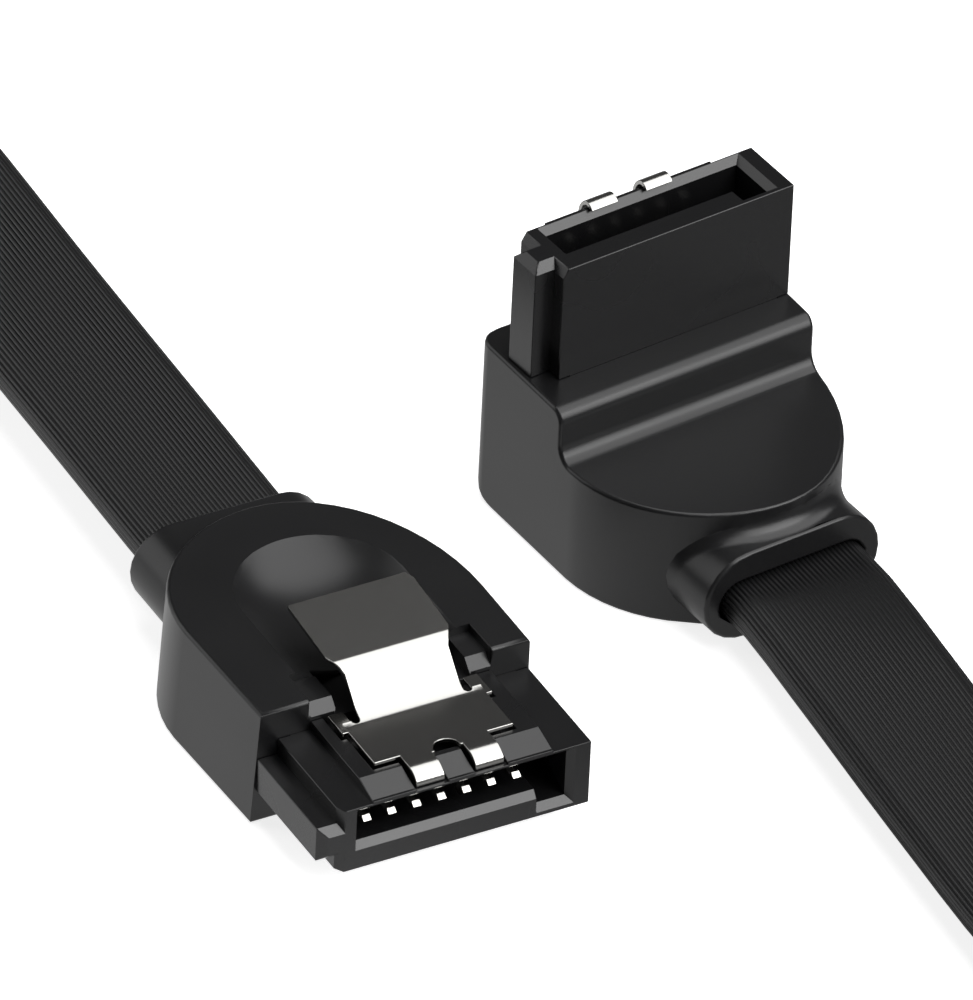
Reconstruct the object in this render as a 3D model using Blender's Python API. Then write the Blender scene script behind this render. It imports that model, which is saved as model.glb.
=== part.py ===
"""Serial ATA data cable: a straight and a right-angle latching connector on one flat ribbed cable.

Metres, +Z up. X runs along the connectors' width. The straight connector's mouth faces -Y and its
cable leaves towards +Y. The origin lies on the table, under the middle of the straight connector.

Two frames are used for each connector. Its body frame stands on the table. Its housing frame has
its origin on the mating rim, with +Y going into the housing and +Z towards the latch.
"""

import math

import bmesh
import bpy
from mathutils import Matrix, Vector

# Housing, the rigid insulator with the L-shaped mouth
HOUSING_LEFT = -0.00645
HOUSING_RIGHT = 0.00633
HOUSING_HEIGHT = 0.00344
HOUSING_LENGTH = 0.0095
HOUSING_EXPOSED = 0.00615
HOUSING_CHAMFER = (0.00028, 0.00045)
HOUSING_TAIL_INSET = 0.0006
SLOT_LEFT = -0.00545
SLOT_RIGHT = 0.00522
SLOT_FLOOR = 0.00138
SLOT_CEILING = 0.00302
SLOT_DEPTH = 0.0061
SLOT_LEAD_IN = 0.00033
KEY_LEG_LEFT = 0.00367
KEY_LEG_FLOOR = 0.00056

# Raised platform on the housing, with the well that the latch dips into
PLATFORM_SPAN = (-0.00454, 0.00464)
PLATFORM_TOP = 0.0039
RAMP_START = 0.00015
RAMP_END = 0.00145
RAMP_FOOT = 0.00354

# Key rib on the narrow side
RIB_LEFT = -0.00745
RIB_BOTTOM = 0.0008
RIB_TOP = 0.0026
RIB_CHAMFER = 0.0004

# Contacts
CONTACT_COUNT = 7
CONTACT_PITCH = 0.00127
CONTACT_CENTRE = -0.00097
CONTACT_WIDTH = 0.00038
CONTACT_THICKNESS = 0.0003
STRAIGHT_CONTACT_SETBACK = 0.0006
ANGLE_CONTACT_SETBACK = 0.0015
CONTACT_TIP = 0.00226
CONTACT_DIP = 0.00192
CONTACT_FLARE = 0.00028
CONTACT_LEVEL = 0.00272
CONTACT_TAIL = 0.001

# Latch, one folded sheet of spring steel
STRAIGHT_LATCH_CENTRE = -0.00026
ANGLE_LATCH_CENTRE = -0.00055
LATCH_THICKNESS = 0.0002
LATCH_PLATE_WIDTH = 0.00708
LATCH_EAR_SPREAD = 0.00028
LATCH_SLIT_WIDTH = 0.00042
LATCH_BAND_WIDTH = 0.0053
LATCH_TAB_WIDTH = 0.00626
LATCH_FINGER_WIDTH = 0.00146
LATCH_FINGER_SPACING = 0.00302
LATCH_RELIEF_RADIUS = 0.00066
LATCH_PLATE_START = 0.00186
LATCH_PLATE_END = 0.005
LATCH_EAR_START = 0.0044
LATCH_EAR_END = 0.00588
LATCH_BAND_END = 0.00655
LATCH_TAB_END = 0.0113
LATCH_SHOULDER = 0.00095
LATCH_TAB_CORNER = 0.00025
LATCH_FRONT = 0.00022
LATCH_BEND_RADIUS = 0.0011
LATCH_BEND_SHARE = 45.0
STRAIGHT_ROLL = (0.00034, 104.0)
ANGLE_ROLL = (0.0005, 150.0)
LATCH_RISE = 0.00187
LATCH_TAB_RISE = 0.00046
LATCH_PIVOT = 0.0013
LATCH_WALL_GAP = 0.0001
ANGLE_LATCH_ADVANCE = 0.00055

# Overmould, the soft outer body of each connector
BODY_LEFT = -0.00736
BODY_RIGHT = 0.00638
BODY_SPREAD = 0.0002
BODY_COVER = 0.00504
BODY_NOSE = -0.00055
BODY_NOSE_LEFT = 0.0071
BODY_NOSE_RIGHT = 0.0096
STRAIGHT_BODY_LENGTH = 0.0142
STRAIGHT_LIFT = 0.00103
STRAIGHT_DRAFT = 0.00033
ANGLE_BODY_LENGTH = 0.01515
ANGLE_SPREAD = 0.0003
ANGLE_COVER = 0.00485
ANGLE_BODY_HEIGHT = 0.0088
ANGLE_FOOT_HEIGHT = 0.0062
ANGLE_FRONT_WALL = -0.0022
ANGLE_STEP_FILLET = 0.0008
ANGLE_TOP_FILLET = 0.0007
ANGLE_BACK_FILLET = 0.0017
ANGLE_CORNER = 0.001

# Channel under the latch and thumb bowl behind it
CHANNEL_LEFT = -0.00485
CHANNEL_RIGHT = 0.0044
CHANNEL_INNER_LEFT = -0.0035
CHANNEL_INNER_RIGHT = 0.0033
CHANNEL_END = 0.0083
CHANNEL_STEP = 0.0046
CHANNEL_CHAMFER = 0.0005
BOWL_CENTRE = -0.0004
BOWL_RADIUS = 0.0041
BOWL_FLOOR = 0.0038
BOWL_LID = 0.0003
BOWL_STEPS = 8
STRAIGHT_BOWL_END = 0.0175
ANGLE_BOWL_END = 0.0128

# Collar, the strain relief that the ribbon leaves through
CORD_X = -0.0009
COLLAR_WIDTH = 0.0097
COLLAR_FLATS = 10
FILLET_STEPS = 6
STRAIGHT_COLLAR_HEIGHT = 0.0042
STRAIGHT_COLLAR_FLARE = 0.0003
STRAIGHT_COLLAR_REACH = 0.00165
STRAIGHT_COLLAR_LEVEL = 0.00295
ANGLE_COLLAR_HEIGHT = 0.0047
ANGLE_COLLAR_FLARE = 0.00078
ANGLE_COLLAR_REACH = 0.00088
ANGLE_COLLAR_LEVEL = 0.00252
ANGLE_CORD_LEVEL = 0.0023

# Inner mould and the conductors that it seals
MOULD_SPAN = (-0.0057, 0.0045)
MOULD_HEIGHT = 0.0029
STRAIGHT_MOULD_LENGTH = 0.0064
ANGLE_MOULD_REACH = 0.0053
WIRE_DIAMETER = 0.0004
CORE_PITCH = 0.001

# Ribbon cable
RIBBON_WIDTH = 0.0078
RIBBON_THICKNESS = 0.002

# Running clearances between fitted pieces
FIT_GAP = 0.00005
SEAT_GAP = 0.000015
CORD_GAP = 0.0003

# Where the connectors stand
STRAIGHT_RIM_Y = -0.0132
ANGLE_PLACE = (0.02133, 0.00728)
ANGLE_YAW = math.radians(6.7)

# Route of the ribbon's middle line between the collars: x, y, z and tilt in degrees
CABLE_ROUTE = (
    (-0.00070, 0.0180, 0.00290, 0.0),
    (-0.00037, 0.0300, 0.00275, 0.0),
    (0.00018, 0.0420, 0.00265, 4.0),
    (0.0010, 0.0520, 0.00330, 40.0),
    (0.0022, 0.0620, 0.00400, 80.0),
    (0.0065, 0.0755, 0.00400, 90.0),
    (0.0160, 0.0880, 0.00400, 90.0),
    (0.0310, 0.0930, 0.00400, 90.0),
    (0.0465, 0.0880, 0.00400, 90.0),
    (0.0565, 0.0750, 0.00400, 90.0),
    (0.0605, 0.0560, 0.00400, 90.0),
    (0.0620, 0.0300, 0.00400, 90.0),
    (0.0625, 0.0000, 0.00400, 90.0),
    (0.0620, -0.0300, 0.00400, 90.0),
    (0.0600, -0.0530, 0.00400, 90.0),
    (0.0550, -0.0700, 0.00400, 90.0),
    (0.0440, -0.0805, 0.00400, 90.0),
    (0.0310, -0.0795, 0.00400, 90.0),
    (0.0230, -0.0690, 0.00400, 88.0),
    (0.0203, -0.0560, 0.00385, 66.0),
    (0.0201, -0.0440, 0.00310, 26.0),
    (0.0205, -0.0330, 0.00225, 2.0),
    (0.0210, -0.0220, 0.00220, 0.0),
    (0.0215, -0.0120, 0.00240, 0.0),
)
ROUTE_STEP = 0.0055

PARTS = "sata_data_cable"
GUIDES = "cutters_and_guides"


# Scene and material helpers

def clear_scene():
    """Remove every object, and the collections that this script makes."""
    for item in list(bpy.data.objects):
        bpy.data.objects.remove(item, do_unlink=True)
    for name in (PARTS, GUIDES):
        if name in bpy.data.collections:
            bpy.data.collections.remove(bpy.data.collections[name])


def make_collection(name):
    """Add a collection to the scene."""
    collection = bpy.data.collections.new(name)
    bpy.context.scene.collection.children.link(collection)
    return collection


def make_material(name, colour, roughness, metallic=0.0):
    """A plain surface with one colour."""
    material = bpy.data.materials.new(name)
    material.use_nodes = True
    shader = material.node_tree.nodes["Principled BSDF"]
    shader.inputs["Base Color"].default_value = (*colour, 1.0)
    shader.inputs["Roughness"].default_value = roughness
    shader.inputs["Metallic"].default_value = metallic
    return material


def make_frame(name, location, rotation=(0.0, 0.0, 0.0), parent=None):
    """An empty that carries the pieces modelled in its frame."""
    frame = bpy.data.objects.new(name, None)
    frame.empty_display_size = 0.002
    frame.location = location
    frame.rotation_euler = rotation
    frame.parent = parent
    bpy.data.collections[GUIDES].objects.link(frame)
    return frame


def add_object(name, mesh, frame, material=None):
    """Put a mesh in the parts, or in the guides when it has no material."""
    item = bpy.data.objects.new(name, mesh)
    item.parent = frame
    if material is None:
        item.hide_render = True
        item.display_type = "WIRE"
        bpy.data.collections[GUIDES].objects.link(item)
    else:
        item.data.materials.append(material)
        bpy.data.collections[PARTS].objects.link(item)
    return item


def shade_round(item, angle=35.0):
    """Smooth shading that keeps the sharp edges."""
    item.data.shade_smooth()
    item.data.set_sharp_from_angle(angle=math.radians(angle))


def add_boolean(target, tool, operation):
    """Cut, join or intersect the target with a guide."""
    modifier = target.modifiers.new(f"{operation.lower()} {tool.name}", "BOOLEAN")
    modifier.operation = operation
    modifier.object = tool
    modifier.solver = "EXACT"


def cut(target, *tools):
    """Subtract guides from the target."""
    for tool in tools:
        add_boolean(target, tool, "DIFFERENCE")


# Shape helpers

def box(name, x_span, y_span, z_span, frame, material=None):
    """A box between three pairs of coordinates."""
    size = Vector((x_span[1] - x_span[0], y_span[1] - y_span[0], z_span[1] - z_span[0]))
    middle = Vector((sum(x_span), sum(y_span), sum(z_span))) / 2.0
    shape = bmesh.new()
    bmesh.ops.create_cube(shape, size=1.0)
    bmesh.ops.transform(shape, matrix=Matrix.LocRotScale(middle, None, size), verts=shape.verts)
    mesh = bpy.data.meshes.new(name)
    shape.to_mesh(mesh)
    shape.free()
    return add_object(name, mesh, frame, material)


AXIS_TURNS = {
    "X": Matrix(((0.0, 0.0, 1.0, 0.0), (1.0, 0.0, 0.0, 0.0), (0.0, 1.0, 0.0, 0.0), (0.0, 0.0, 0.0, 1.0))),
    "Y": Matrix(((0.0, 1.0, 0.0, 0.0), (0.0, 0.0, 1.0, 0.0), (1.0, 0.0, 0.0, 0.0), (0.0, 0.0, 0.0, 1.0))),
    "Z": Matrix.Identity(4),
}


def prism(name, outline, axis, span, frame, material=None):
    """A flat outline extruded along an axis.

    The outline's pairs are (y, z) along X, (z, x) along Y and (x, y) along Z.
    """
    shape = bmesh.new()
    base = [shape.verts.new((u, v, span[0])) for u, v in outline]
    face = shape.faces.new(base)
    grown = bmesh.ops.extrude_face_region(shape, geom=[face])["geom"]
    top = [item for item in grown if isinstance(item, bmesh.types.BMVert)]
    bmesh.ops.translate(shape, verts=top, vec=(0.0, 0.0, span[1] - span[0]))
    bmesh.ops.transform(shape, matrix=AXIS_TURNS[axis], verts=shape.verts)
    bmesh.ops.recalc_face_normals(shape, faces=shape.faces)
    mesh = bpy.data.meshes.new(name)
    shape.to_mesh(mesh)
    shape.free()
    return add_object(name, mesh, frame, material)


def loft(name, outlines, frame, material=None):
    """A closed solid through like outlines, each a list of (x, y, z) points."""
    shape = bmesh.new()
    rings = [[shape.verts.new(point) for point in outline] for outline in outlines]
    shape.faces.new(rings[0])
    shape.faces.new(rings[-1])
    for first, second in zip(rings, rings[1:]):
        for index in range(len(first)):
            after = (index + 1) % len(first)
            shape.faces.new((first[index], first[after], second[after], second[index]))
    bmesh.ops.recalc_face_normals(shape, faces=shape.faces)
    mesh = bpy.data.meshes.new(name)
    shape.to_mesh(mesh)
    shape.free()
    return add_object(name, mesh, frame, material)


def arc(centre, radius, start, end, steps):
    """Points on a circular arc, angles in degrees. A pair of radii gives an ellipse."""
    radii = radius if isinstance(radius, tuple) else (radius, radius)
    points = []
    for step in range(steps + 1):
        angle = math.radians(start + (end - start) * step / steps)
        points.append((centre[0] + radii[0] * math.cos(angle), centre[1] + radii[1] * math.sin(angle)))
    return points


def stadium(width, height, centre, steps=6, flats=1):
    """A slot-shaped outline with round ends and divided flats, in (x, z) pairs."""
    radius = height / 2.0
    reach = width / 2.0 - radius
    right = arc((centre[0] + reach, centre[1]), radius, -90.0, 90.0, steps * 2)
    left = arc((centre[0] - reach, centre[1]), radius, 90.0, 270.0, steps * 2)
    places = [reach * (1.0 - 2.0 * step / flats) for step in range(1, flats)]
    top = [(centre[0] + place, centre[1] + radius) for place in places]
    bottom = [(centre[0] - place, centre[1] - radius) for place in places]
    return right + top + left + bottom


def rounded_path(points, radii, steps=6):
    """A line through the points with its inner corners replaced by arcs."""
    path = [Vector(points[0])]
    for index, radius in enumerate(radii, start=1):
        corner = Vector(points[index])
        inward = (Vector(points[index - 1]) - corner).normalized()
        outward = (Vector(points[index + 1]) - corner).normalized()
        half = inward.angle(outward) / 2.0
        reach = radius / math.tan(half)
        middle = corner + (inward + outward).normalized() * (radius / math.sin(half))
        first = corner + inward * reach - middle
        last = corner + outward * reach - middle
        for step in range(steps + 1):
            path.append(middle + first.slerp(last, step / steps).normalized() * radius)
    path.append(Vector(points[-1]))
    return path


def strip_outline(path, thickness):
    """The closed outline of a strip of sheet that follows a path."""
    left = []
    right = []
    steps = [(after - before).normalized() for before, after in zip(path, path[1:])]
    for index, point in enumerate(path):
        along = (steps[max(index - 1, 0)] + steps[min(index, len(steps) - 1)]).normalized()
        across = Vector((-along.y, along.x)) * (thickness / 2.0)
        left.append(tuple(point + across))
        right.append(tuple(point - across))
    return left + right[::-1]


def tube(name, points, diameter, frame, material=None):
    """A round wire along the points, as a closed mesh."""
    curve = bpy.data.curves.new(name, "CURVE")
    curve.dimensions = "3D"
    curve.bevel_depth = diameter / 2.0
    curve.bevel_resolution = 2
    curve.use_fill_caps = True
    spline = curve.splines.new("POLY")
    spline.points.add(len(points) - 1)
    for target, point in zip(spline.points, points):
        target.co = (*point, 1.0)
    source = bpy.data.objects.new(name, curve)
    bpy.data.collections[GUIDES].objects.link(source)
    bpy.context.view_layer.update()
    mesh = bpy.data.meshes.new_from_object(source.evaluated_get(bpy.context.evaluated_depsgraph_get()))
    bpy.data.objects.remove(source, do_unlink=True)
    mesh.name = name
    shape = bmesh.new()
    shape.from_mesh(mesh)
    bmesh.ops.remove_doubles(shape, verts=shape.verts, dist=0.000002)
    shape.to_mesh(mesh)
    shape.free()
    return add_object(name, mesh, frame, material)


# Housing

def slot_outline(grow):
    """The L-shaped mouth in (z, x) pairs, grown at the rim by its lead-in."""
    left = SLOT_LEFT - grow * 0.5
    right = SLOT_RIGHT + grow
    top = SLOT_CEILING + grow
    floor = SLOT_FLOOR - grow
    leg_left = KEY_LEG_LEFT - grow * 0.1
    leg_floor = KEY_LEG_FLOOR - grow
    return [(top, left), (top, right), (leg_floor, right), (leg_floor, leg_left), (floor, leg_left), (floor, left)]


def ring_at(outline, y):
    """An outline of (z, x) pairs as points at one depth."""
    return [(x, y, z) for z, x in outline]


def add_mouth(prefix, frame, housing):
    """Cut the L-shaped mouth with its lead-in chamfer."""
    rings = [
        ring_at(slot_outline(SLOT_LEAD_IN * 1.5), -SLOT_LEAD_IN * 0.5),
        ring_at(slot_outline(0.0), SLOT_LEAD_IN),
        ring_at(slot_outline(0.0), SLOT_DEPTH),
    ]
    cut(housing, loft(f"{prefix}_mouth_cutter", rings, frame))


def contact_x(index):
    """Where a contact stands along the width."""
    return CONTACT_CENTRE + (index - (CONTACT_COUNT - 1) / 2.0) * CONTACT_PITCH


def add_contact_channels(prefix, frame, housing):
    """Cut a channel for each contact through the wall behind the mouth."""
    half_width = CONTACT_WIDTH / 2.0 + FIT_GAP
    half_height = CONTACT_THICKNESS / 2.0 + FIT_GAP
    for index in range(CONTACT_COUNT):
        x = contact_x(index)
        cut(housing, box(
            f"{prefix}_channel_cutter_{index + 1}",
            (x - half_width, x + half_width),
            (SLOT_DEPTH - FIT_GAP, HOUSING_LENGTH + FIT_GAP),
            (CONTACT_LEVEL - half_height, CONTACT_LEVEL + half_height),
            frame,
        ))


def add_platform(prefix, frame, centre, advance, housing):
    """Join the ramped platform, then cut the wells of the latch and its fingers."""
    profile = [
        (0.0, HOUSING_HEIGHT - FIT_GAP * 2.0),
        (HOUSING_EXPOSED - SEAT_GAP, HOUSING_HEIGHT - FIT_GAP * 2.0),
        (HOUSING_EXPOSED - SEAT_GAP, PLATFORM_TOP),
        (RAMP_END, PLATFORM_TOP),
        (RAMP_START, RAMP_FOOT),
        (0.0, RAMP_FOOT),
    ]
    span = (centre + PLATFORM_SPAN[0], centre + PLATFORM_SPAN[1])
    platform = prism(f"{prefix}_platform_guide", profile, "X", span, frame)
    add_boolean(housing, platform, "UNION")
    above = PLATFORM_TOP + LATCH_RISE
    wells = []
    half_plate = LATCH_PLATE_WIDTH / 2.0 + LATCH_WALL_GAP
    for name, half, start in (
        ("plate", half_plate, LATCH_PLATE_START),
        ("ear", half_plate + LATCH_EAR_SPREAD, LATCH_EAR_START),
    ):
        wells.append(box(
            f"{prefix}_{name}_well_cutter",
            (centre - half, centre + half),
            (start - advance - LATCH_WALL_GAP, HOUSING_LENGTH),
            (HOUSING_HEIGHT, above),
            frame,
        ))
    for side, name in ((-0.5, "left"), (0.5, "right")):
        middle = centre + side * LATCH_FINGER_SPACING
        half_finger = LATCH_FINGER_WIDTH / 2.0 + LATCH_WALL_GAP
        wells.append(box(
            f"{prefix}_finger_gap_cutter_{name}",
            (middle - half_finger, middle + half_finger),
            (-LATCH_WALL_GAP, LATCH_PLATE_START),
            (HOUSING_HEIGHT, above),
            frame,
        ))
    cut(housing, *wells)


def add_key_rib(prefix, frame, housing):
    """Join the key rib, whose front end is chamfered on three sides."""
    rings = []
    for y, inset in ((0.0, RIB_CHAMFER), (RIB_CHAMFER, 0.0), (HOUSING_EXPOSED - SEAT_GAP, 0.0)):
        rings.append([
            (HOUSING_LEFT * 0.9, y, RIB_TOP - inset),
            (HOUSING_LEFT * 0.9, y, RIB_BOTTOM + inset),
            (RIB_LEFT + inset, y, RIB_BOTTOM + inset),
            (RIB_LEFT + inset, y, RIB_TOP - inset),
        ])
    add_boolean(housing, loft(f"{prefix}_rib_guide", rings, frame), "UNION")


def build_housing(prefix, frame, centre, advance, material):
    """The insulator: a flat bar with a mouth, a platform, a key rib and a narrower tail."""
    shoulder = HOUSING_EXPOSED - SEAT_GAP
    plan = [
        (HOUSING_LEFT + HOUSING_CHAMFER[0], 0.0),
        (HOUSING_RIGHT, 0.0),
        (HOUSING_RIGHT, shoulder),
        (HOUSING_RIGHT - HOUSING_TAIL_INSET, shoulder),
        (HOUSING_RIGHT - HOUSING_TAIL_INSET, HOUSING_LENGTH),
        (HOUSING_LEFT + HOUSING_TAIL_INSET, HOUSING_LENGTH),
        (HOUSING_LEFT + HOUSING_TAIL_INSET, shoulder),
        (HOUSING_LEFT, shoulder),
        (HOUSING_LEFT, HOUSING_CHAMFER[1]),
    ]
    housing = prism(f"{prefix}_housing", plan, "Z", (0.0, HOUSING_HEIGHT), frame, material)
    add_platform(prefix, frame, centre, advance, housing)
    add_key_rib(prefix, frame, housing)
    add_mouth(prefix, frame, housing)
    add_contact_channels(prefix, frame, housing)
    return housing


# Contacts and conductors

def build_contacts(prefix, frame, setback, material):
    """Seven sprung strips that run from the mouth through the housing."""
    path = rounded_path(
        [
            (setback, CONTACT_TIP),
            (setback + CONTACT_FLARE, CONTACT_DIP),
            (SLOT_DEPTH * 0.6, CONTACT_LEVEL),
            (HOUSING_LENGTH + CONTACT_TAIL, CONTACT_LEVEL),
        ],
        [0.0002, 0.0015],
        steps=3,
    )
    outline = strip_outline(path, CONTACT_THICKNESS)
    half = CONTACT_WIDTH / 2.0
    first = prism(f"{prefix}_contact_1", outline, "X", (-half, half), frame, material)
    first.location.x = contact_x(0)
    shade_round(first)
    for index in range(1, CONTACT_COUNT):
        twin = bpy.data.objects.new(f"{prefix}_contact_{index + 1}", first.data)
        twin.parent = frame
        twin.location.x = contact_x(index)
        bpy.data.collections[PARTS].objects.link(twin)


def wire_points(start, corner, end, steps=7):
    """A smooth bend from start to end that leans on the corner point."""
    points = []
    for step in range(steps + 1):
        blend = step / steps
        first = start.lerp(corner, blend)
        second = corner.lerp(end, blend)
        points.append(first.lerp(second, blend))
    return points


def build_wires(prefix, frame, routes, mould, material):
    """Seven bare conductors, with a bore for each one and its contact tail in the inner mould."""
    for index, (start, corner, end) in enumerate(routes, start=1):
        points = wire_points(start, corner, end)
        tube(f"{prefix}_wire_{index}", points, WIRE_DIAMETER, frame, material)
        entry = start + (start - corner).normalized() * (CONTACT_TAIL + CORD_GAP * 2.0)
        leave = end + (end - corner).normalized() * CORD_GAP
        bore = tube(f"{prefix}_bore_cutter_{index}", [entry, *points, leave], WIRE_DIAMETER + FIT_GAP * 4.0, frame)
        cut(mould, bore)


# Latch

def latch_half_plan(corner):
    """The right half of the sheet's outline seen from above, as (x, y) pairs about its middle."""
    plate = LATCH_PLATE_WIDTH / 2.0
    band = LATCH_BAND_WIDTH / 2.0
    tab = LATCH_TAB_WIDTH / 2.0
    slit = band + LATCH_SLIT_WIDTH
    finger_in = (LATCH_FINGER_SPACING - LATCH_FINGER_WIDTH) / 2.0
    finger_out = finger_in + LATCH_FINGER_WIDTH
    slit_radius = LATCH_SLIT_WIDTH / 2.0
    half = arc((0.0, LATCH_PLATE_START - 0.00035), LATCH_RELIEF_RADIUS, 90.0, 0.0, 6)
    half += [(finger_in, LATCH_PLATE_START - 0.00035), (finger_in, -LATCH_THICKNESS)]
    half += [(finger_out, -LATCH_THICKNESS), (finger_out, LATCH_PLATE_START)]
    half += [(plate, LATCH_PLATE_START), (plate, LATCH_PLATE_END), (slit, LATCH_PLATE_END)]
    half += arc((slit - slit_radius, LATCH_PLATE_END), slit_radius, 0.0, -180.0, 6)[1:]
    half += [(band, LATCH_BAND_END), (tab, LATCH_BAND_END + LATCH_SHOULDER)]
    return half + [(tab, LATCH_TAB_END - corner * 1.6), (tab - corner, LATCH_TAB_END)]


def latch_plate_level():
    """Height of the middle of the sheet where it lies over the platform."""
    return PLATFORM_TOP + FIT_GAP + LATCH_THICKNESS / 2.0


def finger_path(level, roll):
    """The fingers' middle line in (y, z): a tight roll at the tip, then a wide bend up to the plate."""
    radius, sweep = roll
    tight = radius - LATCH_THICKNESS / 2.0
    wide = LATCH_BEND_RADIUS - LATCH_THICKNESS / 2.0
    share = math.radians(LATCH_BEND_SHARE)
    tight_centre = (LATCH_FRONT + radius, level - wide + (wide - tight) * math.cos(share))
    wide_centre = (tight_centre[0] + (wide - tight) * math.sin(share), level - wide)
    path = arc(tight_centre, tight, 90.0 + sweep, 90.0 + LATCH_BEND_SHARE, 10)
    return path + arc(wide_centre, wide, 90.0 + LATCH_BEND_SHARE, 90.0, 5)[1:]


def build_latch(prefix, frame, centre, advance, roll, material):
    """One folded sheet: fingers rolled over the rim, a plate, a rising band and a thumb tab."""
    level = latch_plate_level()
    fingers = finger_path(level, roll)
    path = [Vector(point) for point in fingers[:-1]] + rounded_path(
        [
            fingers[-1],
            (LATCH_PLATE_END + 0.0002, level),
            (LATCH_BAND_END + 0.0004, level + LATCH_RISE),
            (LATCH_TAB_END + LATCH_THICKNESS, level + LATCH_RISE + LATCH_TAB_RISE),
        ],
        [0.0015, 0.0007],
    )
    pivot = Vector((centre, LATCH_PIVOT, level))
    hinge = make_frame(f"{prefix}_latch_hinge", pivot - Vector((0.0, advance, 0.0)), parent=frame)
    half = LATCH_PLATE_WIDTH / 2.0 + LATCH_EAR_SPREAD
    outline = [(y - pivot.y, z - pivot.z) for y, z in strip_outline(path, LATCH_THICKNESS)]
    latch = prism(f"{prefix}_latch", outline, "X", (-half, half), hinge, material)
    right = latch_half_plan(LATCH_TAB_CORNER)
    left = [(-x, y) for x, y in latch_half_plan(FIT_GAP)[1:]]
    plan = [(x, y - pivot.y) for x, y in right + left[::-1]]
    reach = LATCH_RISE + LATCH_TAB_RISE + LATCH_THICKNESS * 2.0
    guide = prism(f"{prefix}_latch_plan_guide", plan, "Z", (-reach, reach), hinge)
    add_boolean(latch, guide, "INTERSECT")
    slit = LATCH_BAND_WIDTH / 2.0 + LATCH_SLIT_WIDTH
    for side, name in ((-1.0, "left"), (1.0, "right")):
        ear = box(
            f"{prefix}_latch_ear_guide_{name}",
            sorted((side * slit, side * half)),
            (LATCH_EAR_START - pivot.y, LATCH_EAR_END - pivot.y),
            (-LATCH_THICKNESS / 2.0, LATCH_THICKNESS / 2.0),
            hinge,
        )
        add_boolean(latch, ear, "UNION")
    return latch


# Overmould

def body_outline(length, draft=0.0, corner=0.0):
    """The body's plan as (x, distance from the flat end) pairs: a flat end and a round nose."""
    left_span = BODY_NOSE - BODY_LEFT + BODY_SPREAD + draft
    right_span = BODY_RIGHT - BODY_NOSE
    outline = arc((BODY_NOSE, length - BODY_NOSE_RIGHT), (right_span, BODY_NOSE_RIGHT), 0.0, 90.0, 14)
    outline += arc((BODY_NOSE, length - BODY_NOSE_LEFT), (left_span, BODY_NOSE_LEFT), 90.0, 180.0, 14)[1:]
    flat_left = BODY_LEFT - draft
    if corner > 0.0:
        outline += arc((flat_left + corner, corner), corner, 180.0, 270.0, 5)
        outline += arc((BODY_RIGHT - corner, corner), corner, 270.0, 360.0, 5)
    else:
        outline += [(flat_left, 0.0), (BODY_RIGHT, 0.0)]
    return outline


def nose_recess(x):
    """How far the body's round end falls back from its nose at a place along the width."""
    if x < BODY_NOSE:
        span, depth = BODY_NOSE - BODY_LEFT + BODY_SPREAD, BODY_NOSE_LEFT
    else:
        span, depth = BODY_RIGHT - BODY_NOSE, BODY_NOSE_RIGHT
    share = min(abs(x - BODY_NOSE) / span, 1.0)
    return depth * (1.0 - math.sqrt(1.0 - share ** 2))


def collar_ring(grow, middle, height):
    """The collar's section in (x, z) pairs, with its growth mostly on the upper side."""
    centre = (middle[0], middle[1] + grow * 0.5)
    return stadium(COLLAR_WIDTH + grow * 0.6, height + grow * 1.2, centre, flats=COLLAR_FLATS)


def add_collar(prefix, frame, body, middle, height, nose, end, flare):
    """Join the collar, with a hollow fillet that follows the body's round nose."""
    direction = 1.0 if end > nose else -1.0
    root = nose - direction * BODY_NOSE_LEFT
    rings = [[(x, root, z) for x, z in collar_ring(flare, middle, height)]]
    for step in range(FILLET_STEPS + 1):
        angle = math.radians(90.0 * step / FILLET_STEPS)
        reach = flare * (1.0 - math.cos(angle))
        ring = collar_ring(flare * (1.0 - math.sin(angle)), middle, height)
        rings.append([(x, nose - direction * (nose_recess(x) - reach), z) for x, z in ring])
    rings.append([(x, end, z) for x, z in collar_ring(0.0, middle, height)])
    add_boolean(body, loft(f"{prefix}_collar_guide", rings, frame), "UNION")


def build_bowl_cutter(prefix, frame, cover, bowl_end):
    """A trough of round section that ends as part of a sphere, in the housing frame."""
    depth = cover - BOWL_FLOOR
    radius = (BOWL_RADIUS ** 2 + depth ** 2) / (2.0 * depth)
    centre = (bowl_end - BOWL_RADIUS, BOWL_FLOOR + radius)
    lid = cover + BOWL_LID
    drop = centre[1] - lid
    last = math.sqrt(radius ** 2 - drop ** 2 - BOWL_LID ** 2)
    rings = []
    for step in range(-1, BOWL_STEPS + 1):
        reach = last * math.sin(math.radians(90.0 * max(step, 0) / BOWL_STEPS))
        y = centre[0] + reach if step >= 0 else CHANNEL_END - FIT_GAP
        section = math.sqrt(radius ** 2 - reach ** 2)
        half = math.degrees(math.acos(drop / section))
        outline = arc((BOWL_CENTRE, centre[1]), section, -90.0 - half, -90.0 + half, BOWL_STEPS * 2)
        rings.append([(x, y, z) for x, z in outline])
    return loft(f"{prefix}_bowl_cutter", rings, frame)


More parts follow.
